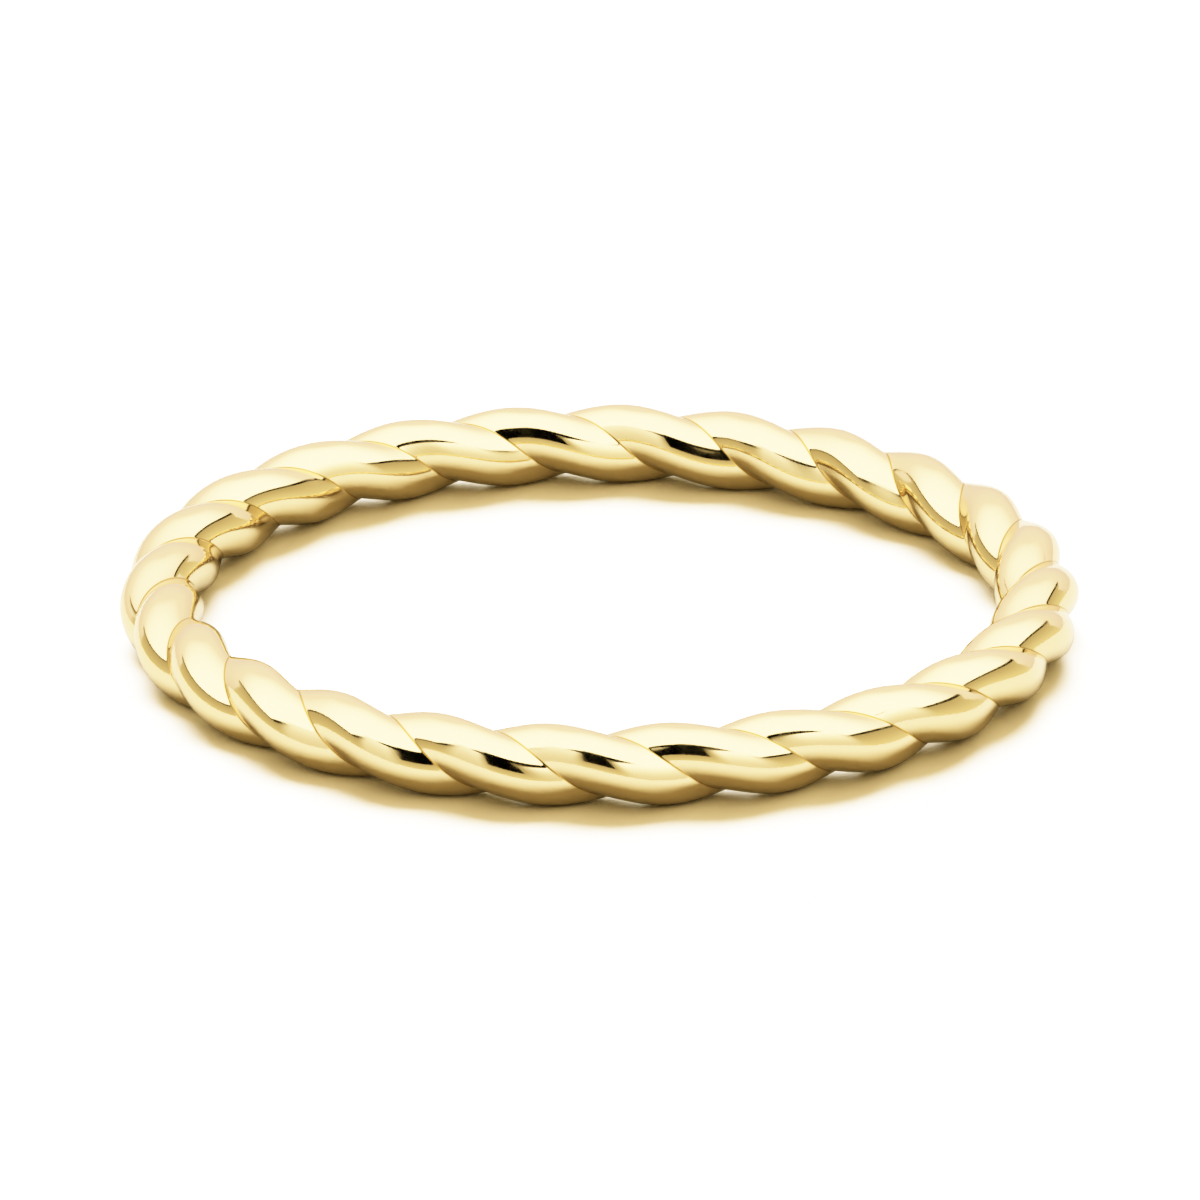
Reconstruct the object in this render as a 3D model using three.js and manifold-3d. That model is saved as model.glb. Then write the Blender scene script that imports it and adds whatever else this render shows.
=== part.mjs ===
// Twisted stacking ring, in millimetres, +Z up.
// Two round strands are laid together with a left-hand twist, closed into a hoop and fused along
// the valleys between them, so the finished ring is one solid piece of metal.
// It lies on its side: the finger hole's axis is Z, and the lower stacking flats rest on z = 0.

import * as THREE from "three";
import Module from "manifold-3d";
import { ParametricGeometry } from "three/addons/geometries/ParametricGeometry.js";
import { mergeVertices } from "three/addons/utils/BufferGeometryUtils.js";

// Driving dimensions
const FINGER_DIAMETER = 17.3; // clear across the crests that point inwards
const BAND_THICKNESS = 1.85; // radially, from crest to crest
const BAND_WIDTH = 1.7; // along Z, from flat to flat
const STRAND_DIAMETER = 1.4; // each strand, before the band is pressed to its width
const TWISTS = 12; // whole turns that the pair makes on its way round
const LAY = -1; // -1 is a left-hand lay, 1 a right-hand one
const POLISH_DEPTH = 0.02; // metal that polishing takes off each side's crests

// Fineness of the faceted surface. A multiple of four sections puts one through every side crest,
// and an even number of facets puts an edge along every strand's crest.
const SECTIONS_PER_TWIST = 16;
const FACETS_PER_STRAND = 10;

// Sizes that follow
const STRAND_RADIUS = STRAND_DIAMETER / 2;
const STRAND_OFFSET = BAND_THICKNESS / 2 - STRAND_RADIUS; // a strand's axis from the pair's axis
const HOOP_RADIUS = (FINGER_DIAMETER + BAND_THICKNESS) / 2; // the pair's axis from the hole's axis
const PRESSED = (BAND_WIDTH + 2 * POLISH_DEPTH) / BAND_THICKNESS; // the band's squash along Z
const FUSED_ANGLE = Math.PI - Math.acos(STRAND_OFFSET / STRAND_RADIUS); // crest to valley

// Point of the pair's outline at u (0 to 1, once round both strands), with the first strand on +x.
// A whole number of facets lies between two valleys, so every valley is a sharp edge.
function pairOutline(u) {
  const onFirstStrand = u < 0.5;
  const alongArc = onFirstStrand ? 2 * u : 2 * u - 1;
  const angle = (2 * alongArc - 1) * FUSED_ANGLE;
  const point = new THREE.Vector2(
    STRAND_OFFSET + STRAND_RADIUS * Math.cos(angle),
    STRAND_RADIUS * Math.sin(angle),
  );
  return onFirstStrand ? point : point.negate();
}

// The outline turns about the pair's axis as it travels round the hoop: u goes round the outline
// and v goes backwards round the hoop, which splits the facets along their short diagonals.
function twistedSurface(u, v, target) {
  const round = -2 * Math.PI * v;
  const outline = pairOutline(u).rotateAround(new THREE.Vector2(), LAY * TWISTS * round);
  const radius = HOOP_RADIUS + outline.x;
  target.set(radius * Math.cos(round), radius * Math.sin(round), outline.y * PRESSED);
}

// manifold-3d joins and cuts closed meshes.
const wasm = await Module();
wasm.setup();

function toSolid(geometry) {
  const bare = geometry.clone().deleteAttribute("normal").deleteAttribute("uv");
  const merged = mergeVertices(bare, 1e-4);
  return new wasm.Manifold(
    new wasm.Mesh({
      numProp: 3,
      vertProperties: merged.attributes.position.array,
      triVerts: new Uint32Array(merged.index.array),
    }),
  );
}

function toGeometry(solid) {
  const mesh = solid.getMesh();
  const geometry = new THREE.BufferGeometry();
  geometry.setAttribute("position", new THREE.BufferAttribute(mesh.vertProperties, 3));
  geometry.setIndex(new THREE.BufferAttribute(mesh.triVerts, 1));
  const faceted = geometry.toNonIndexed();
  faceted.computeVertexNormals();
  return faceted;
}

// The hoop as it leaves the twisting, with rounded crests.
function twistedHoop() {
  const surface = new ParametricGeometry(
    twistedSurface,
    2 * FACETS_PER_STRAND,
    TWISTS * SECTIONS_PER_TWIST,
  );
  return toSolid(surface);
}

// The two sides are polished level, which leaves a small flat on each crest for the next ring.
function levelSides(hoop) {
  const room = 2 * (HOOP_RADIUS + BAND_THICKNESS);
  const slab = new THREE.BoxGeometry(room, room, BAND_WIDTH);
  return hoop.intersect(toSolid(slab));
}

const yellowGold = new THREE.MeshStandardMaterial({
  color: 0xe8cb7e,
  metalness: 1,
  roughness: 0.08,
});

const twistedBand = new THREE.Mesh(toGeometry(levelSides(twistedHoop())), yellowGold);
twistedBand.name = "twisted_band";
twistedBand.position.z = BAND_WIDTH / 2;

const ring = new THREE.Group();
ring.add(twistedBand);

export default ring;
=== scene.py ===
# %% [markdown]
# # A twisted stacking ring
# This is a slim finger ring of polished yellow gold plating. Two round strands were laid together
# with a right-hand twist, bent into a hoop and fused, so the finished ring is one piece of metal. It
# lies on its side, as a ring does on a table, and its finger hole points up.
#
# The engineering model settles the ring's size and place. This script gives it a fine surface, a
# polished finish and a small studio. Lengths are in metres.

# %% Load the engineering model
import math
import bpy
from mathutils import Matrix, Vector


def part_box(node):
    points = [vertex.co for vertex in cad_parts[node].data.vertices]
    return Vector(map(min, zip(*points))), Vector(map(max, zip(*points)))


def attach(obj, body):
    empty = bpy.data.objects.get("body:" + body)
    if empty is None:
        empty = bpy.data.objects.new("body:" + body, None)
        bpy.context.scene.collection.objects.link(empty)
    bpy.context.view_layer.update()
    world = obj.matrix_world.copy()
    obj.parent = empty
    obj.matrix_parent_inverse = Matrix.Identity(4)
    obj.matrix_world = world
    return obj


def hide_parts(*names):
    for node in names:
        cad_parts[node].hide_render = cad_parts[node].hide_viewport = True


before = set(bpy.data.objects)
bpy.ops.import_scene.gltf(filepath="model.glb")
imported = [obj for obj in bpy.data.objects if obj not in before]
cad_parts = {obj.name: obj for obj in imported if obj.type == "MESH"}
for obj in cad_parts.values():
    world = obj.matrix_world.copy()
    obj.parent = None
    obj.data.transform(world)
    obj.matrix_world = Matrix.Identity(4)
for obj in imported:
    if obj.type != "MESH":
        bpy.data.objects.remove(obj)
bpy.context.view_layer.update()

# %% [markdown]
# ## The ring's sizes
# A stranger's drawing of this ring would give five sizes. The box of the engineering model gives two
# of them, the outer diameter and the width. The finger hole gives the band's thickness. The strand's
# own diameter and the number of twists set how deep and how steep the valleys are.

# %% Sizes
MM = 0.001
band_low, band_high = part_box("twisted_band")
OUTER_RADIUS = (band_high.x - band_low.x) / 2
BAND_WIDTH = band_high.z - band_low.z
FINGER_DIAMETER = 17.3 * MM
STRAND_DIAMETER = 1.4 * MM
TWISTS = 12
RIGHT_HAND = 1  # the sign that a right-hand lay gives to a curve's tilt

band_thickness = OUTER_RADIUS - FINGER_DIAMETER / 2
hoop_radius = (OUTER_RADIUS + FINGER_DIAMETER / 2) / 2
strand_radius = STRAND_DIAMETER / 2
strand_offset = band_thickness / 2 - strand_radius
print(f"band {band_thickness / MM:.2f} mm thick, {BAND_WIDTH / MM:.2f} mm wide")
print(f"strand axes {2 * strand_offset / MM:.2f} mm apart on a hoop of radius {hoop_radius / MM:.3f} mm")

# %% [markdown]
# ## Building node trees in code
# Geometry and shader trees are made the same way: add a node, choose its settings, fill its inputs.
# One small function does all three for every kind of node. An input is either a plain value or
# another node's output, so a formula reads from the inside out.

# %% The one helper for nodes
MATH = "ShaderNodeMath"


def add_node(tree, kind, *values, **named):
    """Adds a node and returns the first of its outputs that is in use.

    Plain values fill the inputs by place. A name that starts with a capital is an input, with _ for
    a space. Any other name is one of the node's settings.
    """
    node = tree.nodes.new(kind)
    for name, value in named.items():
        if name[0].islower():
            setattr(node, name, value)
    sockets = [socket for socket in node.inputs if socket.enabled]
    filled = list(zip(sockets, values))
    for name, value in named.items():
        if name[0].isupper():
            filled.append((next(s for s in sockets if s.name == name.replace("_", " ")), value))
    for socket, value in filled:
        if isinstance(value, bpy.types.NodeSocket):
            tree.links.new(value, socket)
        else:
            socket.default_value = value
    return next((output for output in node.outputs if output.enabled), None)


# %% [markdown]
# ## The twisted band
# The ring could be carved from two twisted tubes and a boolean, but the join would be rough where the
# tubes meet at a shallow angle. Its shape follows a rule, so Geometry Nodes can state the rule
# instead: draw the outline of the pair once, sweep it round a circle, and let the outline turn as it
# goes. That is what a jeweller does too, when a pair of wires is held in a vice and twisted.
#
# Three small things make it look like metal and not like a diagram. The valleys get a fine rounding,
# as solder or plating leaves. The sides are polished level where they would touch the next ring. And
# the surface wanders by a few thousandths of a millimetre, because it was finished by hand.

# %% The tree and its named inputs
band_tree = bpy.data.node_groups.new("twisted_band_rule", "GeometryNodeTree")
band_sockets = {}
for name, kind, value in (
    ("Hoop Radius", "Float", hoop_radius),
    ("Strand Radius", "Float", strand_radius),
    ("Strand Offset", "Float", strand_offset),
    ("Band Width", "Float", BAND_WIDTH),
    ("Twist Angle", "Float", RIGHT_HAND * TWISTS * 2 * math.pi),
    ("Valley Rounding", "Float", 0.025),
    ("Side Polish", "Float", 0.02 * MM),
    ("Hand Finish", "Float", 0.008 * MM),
    ("Wander Length", "Float", 1.3 * MM),
    ("Sections", "Int", 80 * TWISTS),
    ("Outline Points", "Int", 96),
):
    socket = band_tree.interface.new_socket(name, in_out="INPUT", socket_type="NodeSocket" + kind)
    band_sockets[socket.identifier] = value
band_tree.interface.new_socket("Geometry", in_out="OUTPUT", socket_type="NodeSocketGeometry")
band_in = band_tree.nodes.new("NodeGroupInput").outputs
print("the rule's inputs:", [output.name for output in band_in if output.name])

# %% [markdown]
# ### The pair's outline
# Seen end on, the two strands are two overlapping circles. In polar form their outline is one short
# formula: at the angle a from the line through both centres, the radius is
# offset * |cos a| + sqrt(radius ** 2 - (offset * sin a) ** 2). The |cos a| makes a sharp valley at a
# quarter turn. sqrt(cos(a) ** 2 + rounding ** 2) is nearly the same, and rounds the valley.
#
# The angles crowd a little towards the valleys, which need the most points. The outline keeps
# (cos a, sin a) as an attribute, so that the finish can tell a valley from a crest later.

# %% Angles round the outline
OUTLINE_CROWDING = 0.3
circle = add_node(band_tree, "GeometryNodeCurvePrimitiveCircle", mode="RADIUS",
                  Resolution=band_in["Outline Points"], Radius=1.0)
share = add_node(band_tree, MATH, add_node(band_tree, "GeometryNodeInputIndex"),
                 band_in["Outline Points"], operation="DIVIDE")
even_angle = add_node(band_tree, MATH, share, 2 * math.pi, operation="MULTIPLY")
crowd = add_node(band_tree, MATH, add_node(band_tree, MATH, even_angle, 2.0, operation="MULTIPLY"),
                 operation="SINE")
angle = add_node(band_tree, MATH, crowd, OUTLINE_CROWDING, even_angle, operation="MULTIPLY_ADD")
cosine = add_node(band_tree, MATH, angle, operation="COSINE")
sine = add_node(band_tree, MATH, angle, operation="SINE")
print("nodes for the outline's angles:", len(band_tree.nodes))

# %% Radius at each angle
soft_cosine = add_node(
    band_tree, MATH,
    add_node(band_tree, MATH, add_node(band_tree, MATH, cosine, 2.0, operation="POWER"),
             add_node(band_tree, MATH, band_in["Valley Rounding"], 2.0, operation="POWER"),
             operation="ADD"),
    operation="SQRT")
sideways = add_node(band_tree, MATH, band_in["Strand Offset"], sine, operation="MULTIPLY")
half_chord = add_node(
    band_tree, MATH,
    add_node(band_tree, MATH,
             add_node(band_tree, MATH, band_in["Strand Radius"], 2.0, operation="POWER"),
             add_node(band_tree, MATH, sideways, 2.0, operation="POWER"), operation="SUBTRACT"),
    operation="SQRT")
reach = add_node(band_tree, MATH, band_in["Strand Offset"], soft_cosine, half_chord,
                 operation="MULTIPLY_ADD")
direction = add_node(band_tree, "ShaderNodeCombineXYZ", cosine, sine)
outline_point = add_node(band_tree, "ShaderNodeVectorMath", operation="SCALE",
                         Vector=direction, Scale=reach)
outline = add_node(band_tree, "GeometryNodeSetPosition", Geometry=circle, Position=outline_point)
outline = add_node(band_tree, "GeometryNodeStoreNamedAttribute", data_type="FLOAT_VECTOR",
                   domain="POINT", Geometry=outline, Name="strand_place", Value=direction)
print("nodes up to the outline:", len(band_tree.nodes))

# %% [markdown]
# ### The sweep
# The hoop is a circle whose tilt grows evenly, so the outline turns as it goes round. The tilt adds up
# to whole turns, and so the end meets the start.

# %% Sweep the outline round the hoop
hoop = add_node(band_tree, "GeometryNodeCurvePrimitiveCircle", mode="RADIUS",
                Resolution=band_in["Sections"], Radius=band_in["Hoop Radius"])
hoop = add_node(band_tree, "GeometryNodeSetCurveNormal", mode="Z_UP", Curve=hoop)
part_way = add_node(band_tree, MATH, add_node(band_tree, "GeometryNodeInputIndex"),
                    band_in["Sections"], operation="DIVIDE")
tilt = add_node(band_tree, MATH, part_way, band_in["Twist Angle"], operation="MULTIPLY")
hoop = add_node(band_tree, "GeometryNodeSetCurveTilt", Curve=hoop, Tilt=tilt)
swept = add_node(band_tree, "GeometryNodeCurveToMesh", Curve=hoop, Profile_Curve=outline)
print("one twist takes", round(2 * math.pi * hoop_radius / TWISTS / MM, 2), "mm of the hoop")

# %% [markdown]
# ### Pressing and hand finish
# The swept band is pressed a little along the finger's axis, a few hundredths of a millimetre wider
# than the finished ring. Then every point moves along its normal by a slow noise, which is what makes
# the reflections on a real band waver.

# %% Press
at = add_node(band_tree, "ShaderNodeSeparateXYZ",
              add_node(band_tree, "GeometryNodeInputPosition")).node.outputs
half_width = add_node(band_tree, MATH, band_in["Band Width"], 0.5, operation="MULTIPLY")
pressed = add_node(
    band_tree, MATH,
    add_node(band_tree, MATH, half_width, band_in["Side Polish"], operation="ADD"),
    add_node(band_tree, MATH, band_in["Strand Offset"], band_in["Strand Radius"], operation="ADD"),
    operation="DIVIDE")
flat_z = add_node(band_tree, MATH, at["Z"], pressed, operation="MULTIPLY")
pressed_point = add_node(band_tree, "ShaderNodeCombineXYZ", at["X"], at["Y"], flat_z)
band = add_node(band_tree, "GeometryNodeSetPosition", Geometry=swept, Position=pressed_point)
print("nodes up to the press:", len(band_tree.nodes))

# %% Wander
WANDER_SEED = 7.0
per_metre = add_node(band_tree, MATH, 1.0, band_in["Wander Length"], operation="DIVIDE")
noise = add_node(band_tree, "ShaderNodeTexNoise", noise_dimensions="4D",
                 Vector=add_node(band_tree, "GeometryNodeInputPosition"), W=WANDER_SEED,
                 Scale=per_metre, Detail=1.0, Roughness=0.4)
both_ways = add_node(band_tree, MATH, noise, 2.0, -1.0, operation="MULTIPLY_ADD")
wander = add_node(band_tree, MATH, both_ways, band_in["Hand Finish"], operation="MULTIPLY")
outwards = add_node(band_tree, "ShaderNodeVectorMath", operation="SCALE",
                    Vector=add_node(band_tree, "GeometryNodeInputNormal"), Scale=wander)
band = add_node(band_tree, "GeometryNodeSetPosition", Geometry=band, Offset=outwards)
print("nodes up to the wander:", len(band_tree.nodes))

# %% [markdown]
# ### Polishing the sides level
# A smooth minimum rounds the crests off at the height of the side, where a plain minimum would leave
# hard edges. The band is lifted by half its width on the way, so that it rests on z = 0.

# %% Level the two sides
SOFTENING = 3.0  # how far the rounding reaches, as a multiple of the polish
at = add_node(band_tree, "ShaderNodeSeparateXYZ",
              add_node(band_tree, "GeometryNodeInputPosition")).node.outputs
softness = add_node(band_tree, MATH, band_in["Side Polish"], SOFTENING, operation="MULTIPLY")
lowered = add_node(band_tree, MATH, at["Z"], half_width, softness, operation="SMOOTH_MIN")
other_side = add_node(band_tree, MATH, half_width, -1.0, operation="MULTIPLY")
levelled = add_node(band_tree, MATH, lowered, other_side, softness, operation="SMOOTH_MAX")
resting = add_node(band_tree, MATH, levelled, half_width, operation="ADD")
resting_point = add_node(band_tree, "ShaderNodeCombineXYZ", at["X"], at["Y"], resting)
band = add_node(band_tree, "GeometryNodeSetPosition", Geometry=band, Position=resting_point)
print("nodes up to the level sides:", len(band_tree.nodes))

# %% [markdown]
# ## Colour and the gold finish
# The real finish is a thin plating of pale yellow gold on a bright polished metal. All that the eye
# sees in polished gold is its surroundings, tinted. So the base colour is the tint of one reflection,
# metallic is 1, and the roughness is very low. Small flaws then tell the eye that this is worked metal
# and not a perfect mirror. The polishing cloth leaves faint lines along each strand. It doesn't reach
# the valleys, which stay duller, and the base colour is darker along them. And handling leaves soft
# scuffs.

# %% Colours
def linear(hex_colour):
    """An sRGB hex colour as the linear colour that shaders use."""
    channels = [int(hex_colour[i:i + 2], 16) / 255 for i in (1, 3, 5)]
    return [c / 12.92 if c <= 0.04045 else ((c + 0.055) / 1.055) ** 2.4 for c in channels] + [1.0]


GOLD = linear("#F4DFB3")
GOLD_IN_VALLEYS = linear("#BE9A54")
print("gold reflects", [round(c, 2) for c in GOLD[:3]])

# %% The plating, and how deep in a valley a point lies
gold = bpy.data.materials.new("polished_pale_gold_plating")
gold.use_nodes = True
gold_tree = gold.node_tree
plating = gold_tree.nodes["Principled BSDF"]
plating.inputs["Metallic"].default_value = 1.0
place = add_node(gold_tree, "ShaderNodeTexCoord").node.outputs["Object"]
strand_place = add_node(gold_tree, "ShaderNodeAttribute",
                        attribute_name="strand_place").node.outputs["Vector"]
strand = add_node(gold_tree, "ShaderNodeSeparateXYZ", strand_place).node.outputs
from_valley = add_node(gold_tree, MATH, strand["X"], operation="ABSOLUTE")
VALLEY_REACH = 0.07  # in |cos a|, which is 0 along a valley and 1 along a crest
deep = add_node(gold_tree, "ShaderNodeMapRange", interpolation_type="SMOOTHSTEP",
                Value=from_valley, From_Min=0.0, From_Max=VALLEY_REACH, To_Min=1.0, To_Max=0.0)
# The base colour turns darker along the valleys.
tint = add_node(gold_tree, "ShaderNodeMix", data_type="RGBA",
                Factor=deep, A=GOLD, B=GOLD_IN_VALLEYS)
gold_tree.links.new(tint, plating.inputs["Base Color"])
print("nodes for the plating's colour:", len(gold_tree.nodes))

# %% [markdown]
# ### Polishing lines and scuffs
# The lines need a pattern that is long along the strand and narrow across it, and that closes on
# itself after twelve twists. A noise in four dimensions does it: two of them are the place round the
# outline, which the strand's own attribute gives, and two are the place round the hoop. Its lines are
# 0.05 mm wide, which is coarser than a polishing cloth leaves, because finer ones wouldn't show.

# %% Lines that the polishing cloth leaves
LINE_WIDTH = 0.05 * MM
LINE_LENGTH = 4.0 * MM
LINE_DEPTH = 0.0005 * MM
on_hoop = add_node(gold_tree, "ShaderNodeSeparateXYZ", place).node.outputs
round_x = add_node(gold_tree, MATH, on_hoop["X"], 1 / LINE_LENGTH, operation="MULTIPLY")
round_y = add_node(gold_tree, MATH, on_hoop["Y"], 1 / LINE_LENGTH, operation="MULTIPLY")
lines_round = band_thickness / 2 / LINE_WIDTH
across_x = add_node(gold_tree, MATH, strand["X"], lines_round, operation="MULTIPLY")
across_y = add_node(gold_tree, MATH, strand["Y"], lines_round, operation="MULTIPLY")
along = add_node(gold_tree, "ShaderNodeCombineXYZ", across_x, across_y, round_x)
lines = add_node(gold_tree, "ShaderNodeTexNoise", noise_dimensions="4D", Vector=along, W=round_y,
                 Scale=1.0, Detail=2.0, Roughness=0.6)
print("lines", LINE_WIDTH / MM, "mm wide and", LINE_LENGTH / MM, "mm long")

# %% Scuffs, roughness and bump
SCUFF_SIZE = 0.45 * MM
LEAST_SCUFF, MOST_SCUFF = 0.42, 0.72  # the part of the noise's range that counts
POLISHED, SCUFFED = 0.045, 0.13
DULLER_IN_VALLEYS = 0.12
DULLER_IN_LINES = 0.03
scuffs = add_node(gold_tree, "ShaderNodeTexNoise", Vector=place, Scale=1 / SCUFF_SIZE,
                  Detail=6.0, Roughness=0.65)
roughness = add_node(gold_tree, "ShaderNodeMapRange", Value=scuffs, From_Min=LEAST_SCUFF,
                     From_Max=MOST_SCUFF, To_Min=POLISHED, To_Max=SCUFFED)
roughness = add_node(gold_tree, MATH, deep, DULLER_IN_VALLEYS, roughness, operation="MULTIPLY_ADD")
roughness = add_node(gold_tree, MATH, lines, DULLER_IN_LINES, roughness, operation="MULTIPLY_ADD")
gold_tree.links.new(roughness, plating.inputs["Roughness"])
bump = add_node(gold_tree, "ShaderNodeBump", Strength=1.0, Distance=LINE_DEPTH, Height=lines)
gold_tree.links.new(bump, plating.inputs["Normal"])
print(gold.name, "has", len(gold_tree.nodes), "nodes")

# %% [markdown]
# ### The finished band
# The tree ends with the material on real triangles. A carrier object runs it once, with every input
# set by its identifier, and the result is kept as a plain mesh. It stands for the engineering model's
# `twisted_band` and rides on its body.

# %% End of the tree
fine = add_node(band_tree, "GeometryNodeTriangulate", Mesh=band)
smooth = add_node(band_tree, "GeometryNodeSetShadeSmooth", Geometry=fine, Shade_Smooth=True)
real = add_node(band_tree, "GeometryNodeRealizeInstances", Geometry=smooth)
finished = add_node(band_tree, "GeometryNodeSetMaterial", Geometry=real, Material=gold)
add_node(band_tree, "NodeGroupOutput", Geometry=finished)
print("the rule has", len(band_tree.nodes), "nodes")

# %% Run the rule
carrier = bpy.data.objects.new("carrier", bpy.data.meshes.new("carrier"))
bpy.context.scene.collection.objects.link(carrier)
rule = carrier.modifiers.new("rule", "NODES")
rule.node_group = band_tree
for identifier, value in band_sockets.items():
    rule[identifier] = value
carrier.update_tag()
depsgraph = bpy.context.evaluated_depsgraph_get()
band_mesh = bpy.data.meshes.new_from_object(carrier.evaluated_get(depsgraph), depsgraph=depsgraph)
bpy.data.objects.remove(carrier)
band_mesh.name = "twisted_gold_band"
twisted_gold_band = bpy.data.objects.new("twisted_gold_band", band_mesh)
bpy.context.scene.collection.objects.link(twisted_gold_band)
print(len(band_mesh.vertices), "points,", len(band_mesh.polygons), "triangles of",
      band_mesh.materials[0].name)

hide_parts("twisted_band")
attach(twisted_gold_band, "root")

# %% [markdown]
# ## Camera
# The camera looks down at the ring from the front through a long lens, as for a small thing that is
# held sharp from edge to edge. Its distance sets how much the back of the ring shrinks, and the lens
# follows from the share of the picture that the ring fills.

# %% Place the camera
CAMERA_AZIMUTH = -2.85
CAMERA_ELEVATION = 21.6
CAMERA_DISTANCE = 0.334
RING_SHARE = 0.80
SENSOR = 36.0
NEAREST = 0.01
FARTHEST = 20.0


def towards(azimuth, elevation):
    """The direction from the ring, in degrees, with azimuth 0 on the camera's side."""
    a = math.radians(azimuth + CAMERA_AZIMUTH)
    e = math.radians(elevation)
    return Vector((math.sin(a) * math.cos(e), -math.cos(a) * math.cos(e), math.sin(e)))


ring_centre = Vector((0, 0, BAND_WIDTH / 2))
camera = bpy.data.objects.new("camera", bpy.data.cameras.new("camera"))
bpy.context.scene.collection.objects.link(camera)
camera.data.sensor_width = SENSOR
camera.data.lens = SENSOR * RING_SHARE * CAMERA_DISTANCE / (2 * OUTER_RADIUS)
camera.location = ring_centre + towards(0, CAMERA_ELEVATION) * CAMERA_DISTANCE
camera.rotation_mode = "QUATERNION"
camera.rotation_quaternion = (ring_centre - camera.location).to_track_quat("-Z", "Y")
camera.data.clip_start = NEAREST
camera.data.clip_end = FARTHEST
bpy.context.scene.camera = camera
print("lens", round(camera.data.lens), "mm")

# %% [markdown]
# ## The studio
# A polished ring is a mirror, so its picture is mostly a picture of the studio. Lamps alone would
# leave it black with a few hot spots. Instead large pale panels stand round it, like a light tent for
# jewellery: a wide softbox overhead, a white wall behind, a white card on each side, and one small
# black card in front, which draws the dark patch that makes metal look like metal.
# Each pale panel glows by itself and unevenly, as a lit panel does, and the black ones don't glow. The
# camera doesn't see the panels, only their reflections, and they light the metal alone.

# %% A glowing panel
def glow(name, foot, top, colours=("#FFFFFF", "#FFFFFF"), start=0.0, soft_edge=0.0):
    """A glow that changes from foot to top of a panel, and fades out towards its two sides."""
    material = bpy.data.materials.new(name)
    material.use_nodes = True
    tree = material.node_tree
    tree.nodes.clear()
    on_panel = add_node(tree, "ShaderNodeTexCoord").node.outputs["UV"]
    panel_place = add_node(tree, "ShaderNodeSeparateXYZ", on_panel).node.outputs
    rise = add_node(tree, "ShaderNodeMapRange", interpolation_type="SMOOTHSTEP",
                    Value=panel_place["Y"], From_Min=start)
    colour = add_node(tree, "ShaderNodeMix", data_type="RGBA",
                      Factor=rise, A=linear(colours[0]), B=linear(colours[1]))
    strength = add_node(tree, "ShaderNodeMapRange", Value=rise, To_Min=foot, To_Max=top)
    light = add_node(tree, "ShaderNodeEmission", Color=colour, Strength=strength)
    if soft_edge:
        off_middle = add_node(tree, MATH, panel_place["X"], 0.5, operation="SUBTRACT")
        off_middle = add_node(tree, MATH, off_middle, operation="ABSOLUTE")
        cover = add_node(tree, "ShaderNodeMapRange", interpolation_type="SMOOTHSTEP",
                         Value=off_middle, From_Min=0.5, From_Max=0.5 - soft_edge)
        clear = add_node(tree, "ShaderNodeBsdfTransparent")
        light = add_node(tree, "ShaderNodeMixShader", cover, clear, light)
    add_node(tree, "ShaderNodeOutputMaterial", Surface=light)
    return material


def panel(name, corners, material):
    """A four-sided panel. Its first two corners are its foot, or its near side overhead."""
    mesh = bpy.data.meshes.new(name)
    mesh.from_pydata([tuple(corner) for corner in corners], [], [(0, 1, 2, 3)])
    mesh.materials.append(material)
    across = mesh.uv_layers.new(name="across")
    for corner, value in enumerate(((0, 0), (1, 0), (1, 1), (0, 1))):
        across.uv[corner].vector = value
    made = bpy.data.objects.new(name, mesh)
    bpy.context.scene.collection.objects.link(made)
    made.visible_camera = False
    made.visible_diffuse = False
    made.visible_shadow = False
    print("panel:", name)


# %% Overhead softbox, its black rim and the back wall
LEFT = -2.4
RIGHT = 1.7
FRONT = -0.72
BACK = 2.4
CEILING = 1.2
RIM = 0.3  # how far the black rim sticks out
RIM_LIFT = 0.01  # it lies just above the softbox
WALL_MARGIN = 1.0  # how far the back wall reaches past the softbox on each side


def in_room(right, away, up):
    """A studio point, from metres to the camera's right, away from it and up."""
    a = math.radians(CAMERA_AZIMUTH)
    return Vector((right * math.cos(a) - away * math.sin(a),
                   right * math.sin(a) + away * math.cos(a), up))


panel("overhead_softbox",
      [in_room(LEFT, FRONT, CEILING), in_room(RIGHT, FRONT, CEILING),
       in_room(RIGHT, BACK, CEILING), in_room(LEFT, BACK, CEILING)],
      glow("overhead_glow", 2.3, 1.4, ("#FFFDF6", "#FFF3EE"), start=0.25))
panel("black_rim",
      [in_room(LEFT - RIM, FRONT - RIM, CEILING + RIM_LIFT),
       in_room(RIGHT + RIM, FRONT - RIM, CEILING + RIM_LIFT),
       in_room(RIGHT + RIM, BACK, CEILING + RIM_LIFT),
       in_room(LEFT - RIM, BACK, CEILING + RIM_LIFT)],
      glow("black_cloth", 0.0, 0.0))
panel("back_wall",
      [in_room(LEFT - WALL_MARGIN, BACK, 0), in_room(RIGHT + WALL_MARGIN, BACK, 0),
       in_room(RIGHT + WALL_MARGIN, BACK, CEILING), in_room(LEFT - WALL_MARGIN, BACK, CEILING)],
      glow("back_glow", 1.15, 1.4, ("#FFF0EC", "#FFF3EE")))

# %% Side cards and the black card
def card(name, azimuths, elevations, distance, material):
    """An upright card that covers these azimuths and elevations, seen from the ring."""
    middle = sum(azimuths) / 2
    corners = []
    for azimuth, elevation in ((0, 0), (1, 0), (1, 1), (0, 1)):
        away = distance / math.cos(math.radians(azimuths[azimuth] - middle))
        rise = distance * math.tan(math.radians(elevations[elevation]))
        corners.append(towards(azimuths[azimuth], 0) * away + Vector((0, 0, rise)))
    panel(name, corners, material)


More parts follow.
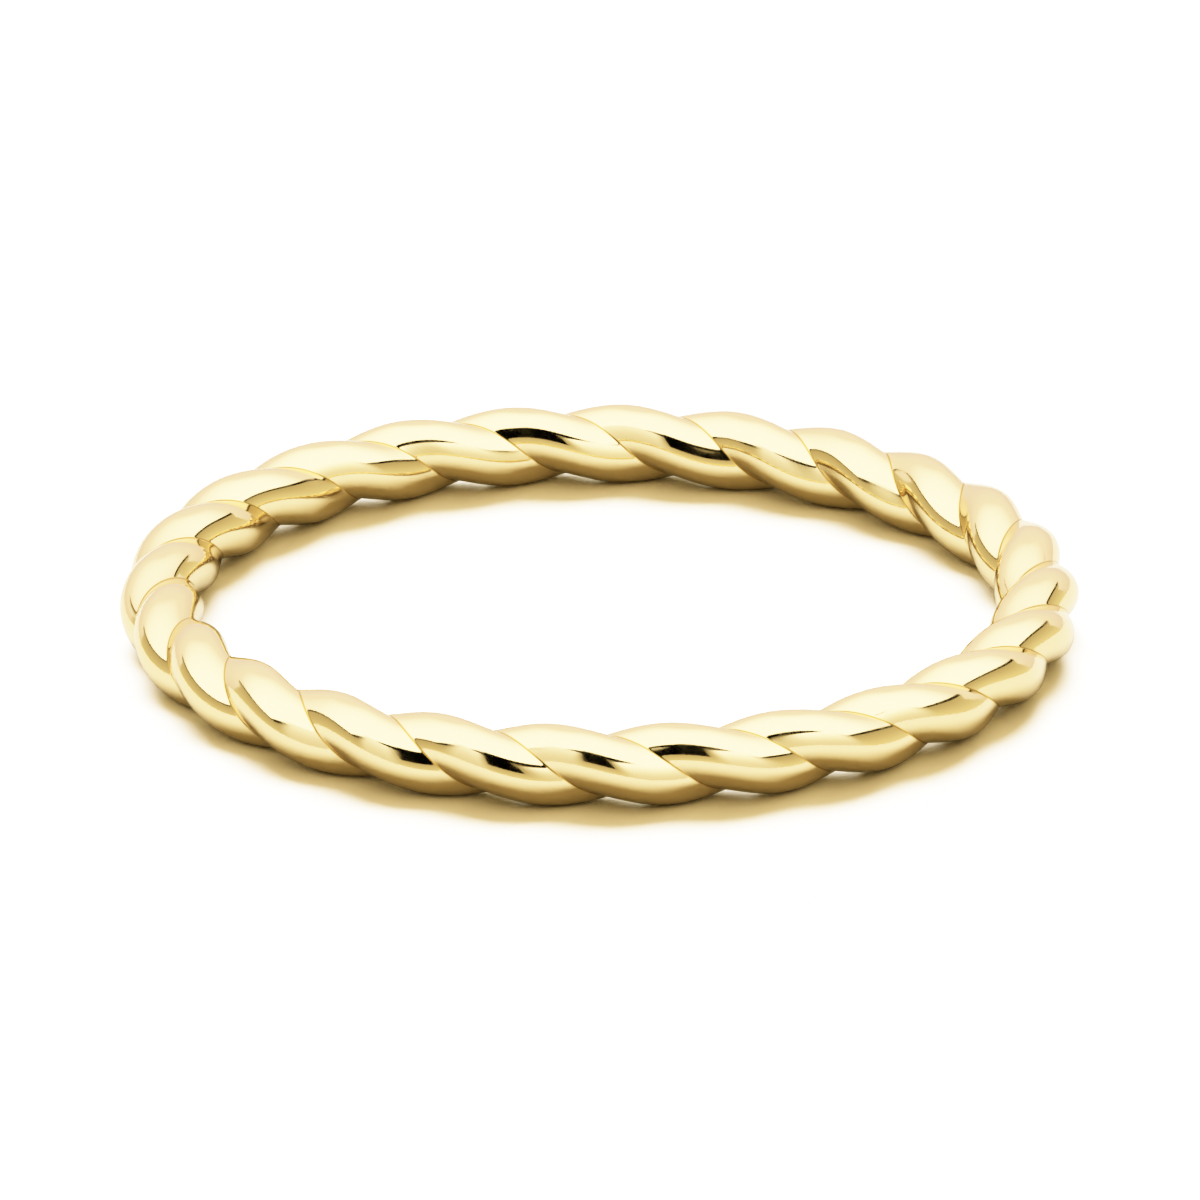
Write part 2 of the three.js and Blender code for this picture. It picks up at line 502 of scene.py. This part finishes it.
WARM_WHITE = ("#FFF6E6", "#FFFAF2")
SIDE_DISTANCE = 0.8
BLACK_DISTANCE = 0.6
card("left_card", (-66, -20), (0, 50), SIDE_DISTANCE,
     glow("left_glow", 1.1, 1.7, WARM_WHITE, soft_edge=0.3))
card("right_card", (8, 74), (0, 48), SIDE_DISTANCE,
     glow("right_glow", 1.15, 2.3, WARM_WHITE, soft_edge=0.3))
card("black_card", (-22, 8), (20, 60), BLACK_DISTANCE, glow("black_board", 0.0, 0.0))

# %% [markdown]
# ## Table, room and key light
# The table is matt white paper. It is lit from behind and above by one soft key light, so the ring's
# shadow falls towards the camera and stays short. The camera sees the paper as a clean white, and the
# ring's reflections show it darker. That is a trick and not physics: a real studio gets much the same
# by masking the paper that the camera doesn't see.
#
# A weak warm light from straight above tints the shadow, as light that bounces off the gold would.
# The room beyond the panels grows dimmer with height and is a little dimmer on the left. It lights the
# metal alone, and the camera sees it as white, so that the paper has no horizon.

# %% White paper table
PAPER_SEEN = 0.97
PAPER_IN_REFLECTIONS = 0.45
TABLE_HALF = 3.0
paper = bpy.data.materials.new("matt_white_paper")
paper.use_nodes = True
paper_tree = paper.node_tree
paper_tree.nodes.clear()
seen = add_node(paper_tree, "ShaderNodeLightPath").node.outputs["Is Camera Ray"]
white = add_node(paper_tree, "ShaderNodeMapRange", Value=seen,
                 To_Min=PAPER_IN_REFLECTIONS, To_Max=PAPER_SEEN)
matt = add_node(paper_tree, "ShaderNodeBsdfDiffuse", Color=white)
add_node(paper_tree, "ShaderNodeOutputMaterial", Surface=matt)
table = bpy.data.objects.new("table", bpy.data.meshes.new("table"))
table.data.from_pydata([(-TABLE_HALF, -TABLE_HALF, 0), (TABLE_HALF, -TABLE_HALF, 0),
                        (TABLE_HALF, TABLE_HALF, 0), (-TABLE_HALF, TABLE_HALF, 0)],
                       [], [(0, 1, 2, 3)])
table.data.materials.append(paper)
bpy.context.scene.collection.objects.link(table)
print("table", 2 * TABLE_HALF, "m across")

# %% The room beyond the panels
ROOM_LOW = 1.15
ROOM_HIGH = 0.35
HIGH = 0.75  # the height of a direction, from 0 at the horizon to 1 overhead
LEFT_SIDE_SHARE = 0.8
WHITE_BEYOND = 5.0
world = bpy.data.worlds.new("room")
bpy.context.scene.world = world
world.use_nodes = True
world_tree = world.node_tree
way = add_node(world_tree, "ShaderNodeTexCoord").node.outputs["Generated"]
way = add_node(world_tree, "ShaderNodeSeparateXYZ", way).node.outputs
by_height = add_node(world_tree, "ShaderNodeMapRange", Value=way["Z"], From_Min=0.0, From_Max=HIGH,
                     To_Min=ROOM_LOW, To_Max=ROOM_HIGH)
by_side = add_node(world_tree, "ShaderNodeMapRange", Value=way["X"], From_Min=-1.0, From_Max=1.0,
                   To_Min=LEFT_SIDE_SHARE, To_Max=1.0)
room = add_node(world_tree, MATH, by_height, by_side, operation="MULTIPLY")
seen = add_node(world_tree, "ShaderNodeLightPath").node.outputs["Is Camera Ray"]
room = add_node(world_tree, MATH, seen, WHITE_BEYOND, room, operation="MULTIPLY_ADD")
world_tree.links.new(room, world_tree.nodes["Background"].inputs["Strength"])
world_tree.nodes["Background"].inputs["Color"].default_value = linear("#FFF1D2")
world.cycles_visibility.diffuse = False
print("room strength", ROOM_LOW, "at the horizon and", ROOM_HIGH, "high up")

# %% Key light and warm fill
def soft_sun(name, energy, spread, azimuth, elevation, colour):
    """A far light from one direction, with a spread in degrees, which the metal doesn't mirror."""
    lamp = bpy.data.objects.new(name, bpy.data.lights.new(name, "SUN"))
    bpy.context.scene.collection.objects.link(lamp)
    lamp.data.energy = energy
    lamp.data.angle = math.radians(spread)
    lamp.data.color = linear(colour)[:3]
    lamp.rotation_mode = "QUATERNION"
    lamp.rotation_quaternion = (-towards(azimuth, elevation)).to_track_quat("-Z", "Y")
    lamp.visible_glossy = False
    print(name, "has energy", energy, "over", spread, "degrees")


soft_sun("key_light", 12.0, 56, 185, 44, "#FFFFFF")
soft_sun("warm_fill", 2.8, 120, 0, 90, "#FFE1B0")

# %% [markdown]
# ## Film response
# A gold ring under white panels has a huge range of light. A plain display would clip it, so the
# picture gets a soft shoulder, as film and cameras have, and a slight warmth in its middle tones.

# %% Shoulder and warmth
look = bpy.context.scene.view_settings
look.view_transform = "Standard"
look.use_curve_mapping = True
response = look.curve_mapping
GREEN, BLUE, ALL_COLOURS = 1, 2, 3
WHITE = 2.5
response.white_level = (WHITE, WHITE, WHITE)
for light, shown in ((0.2, 0.21), (0.4, 0.41), (0.8, 0.72), (1.2, 0.885), (1.8, 0.975)):
    response.curves[ALL_COLOURS].points.new(light / WHITE, shown)
for plain, warm in ((0.25, 0.237), (0.5, 0.485)):
    response.curves[GREEN].points.new(plain, warm)
for plain, warm in ((0.1, 0.068), (0.27, 0.23), (0.45, 0.41)):
    response.curves[BLUE].points.new(plain, warm)
response.update()
print("the picture turns fully white at", WHITE, "times plain white")
